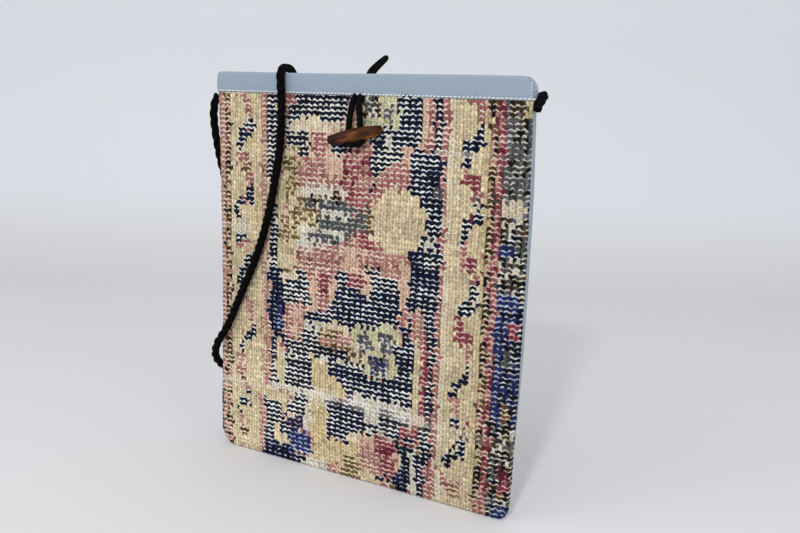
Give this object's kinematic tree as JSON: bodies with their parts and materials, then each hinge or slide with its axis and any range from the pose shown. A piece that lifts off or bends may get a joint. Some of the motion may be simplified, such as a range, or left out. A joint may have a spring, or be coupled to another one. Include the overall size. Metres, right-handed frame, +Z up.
{
  "type": "shoulder bag",
  "caption": "Flat shoulder bag with a knotted rug front, a twill back and mouth band, a twisted cord strap, and a wooden toggle and loop to close its mouth.",
  "frame": {"origin": "centre of the base's rest face, on the surface that the bag stands on", "axes": "+X to the right as seen from the front, the rug front faces -Y, +Z up to the mouth"},
  "size_m": [0.2834, 0.0475, 0.3149],
  "materials": {
    "rug": "knotted wool, worn, patterned in navy, beige, dusty pink and crimson",
    "twill": "pale blue cotton twill, matte",
    "lining": "plain cotton, matte",
    "thread": "pale cotton thread",
    "wood": "turned, lightly waxed",
    "lace": "black rolled lace, matte",
    "strap": "black three-strand twisted cord, matte",
    "tack": "black whipping thread"
  },
  "bodies": {
    "bag": {"front_panel": "rug", "back_panel": "twill", "front_lining": "lining", "back_lining": "lining", "front_band": "twill", "back_band": "twill", "front_band_stitching": "thread", "back_band_stitching": "thread", "left_seam_stitching": "thread", "right_seam_stitching": "thread", "bottom_seam_stitching": "thread", "toggle_lace_end": "lace", "closure_loop_end": "lace", "strap_cord": "strap", "left_strap_tack": "tack", "right_strap_tack": "tack"},
    "toggle": {"toggle": "wood", "toggle_lace": "lace"},
    "closure_loop": {"closure_loop": "lace"}
  },
  "joints": [
    {"name": "toggle_swing", "type": "hinge", "parent": "bag", "child": "toggle", "pos_m": [0, -0.00975, 0.2826], "axis": [-1, 0, 0], "range_deg": [0, 160]},
    {"name": "closure_loop_fold", "type": "hinge", "parent": "bag", "child": "closure_loop", "pos_m": [0, 0.01045, 0.2831], "axis": [-1, 0, 0], "range_deg": [0, 150]}
  ]
}
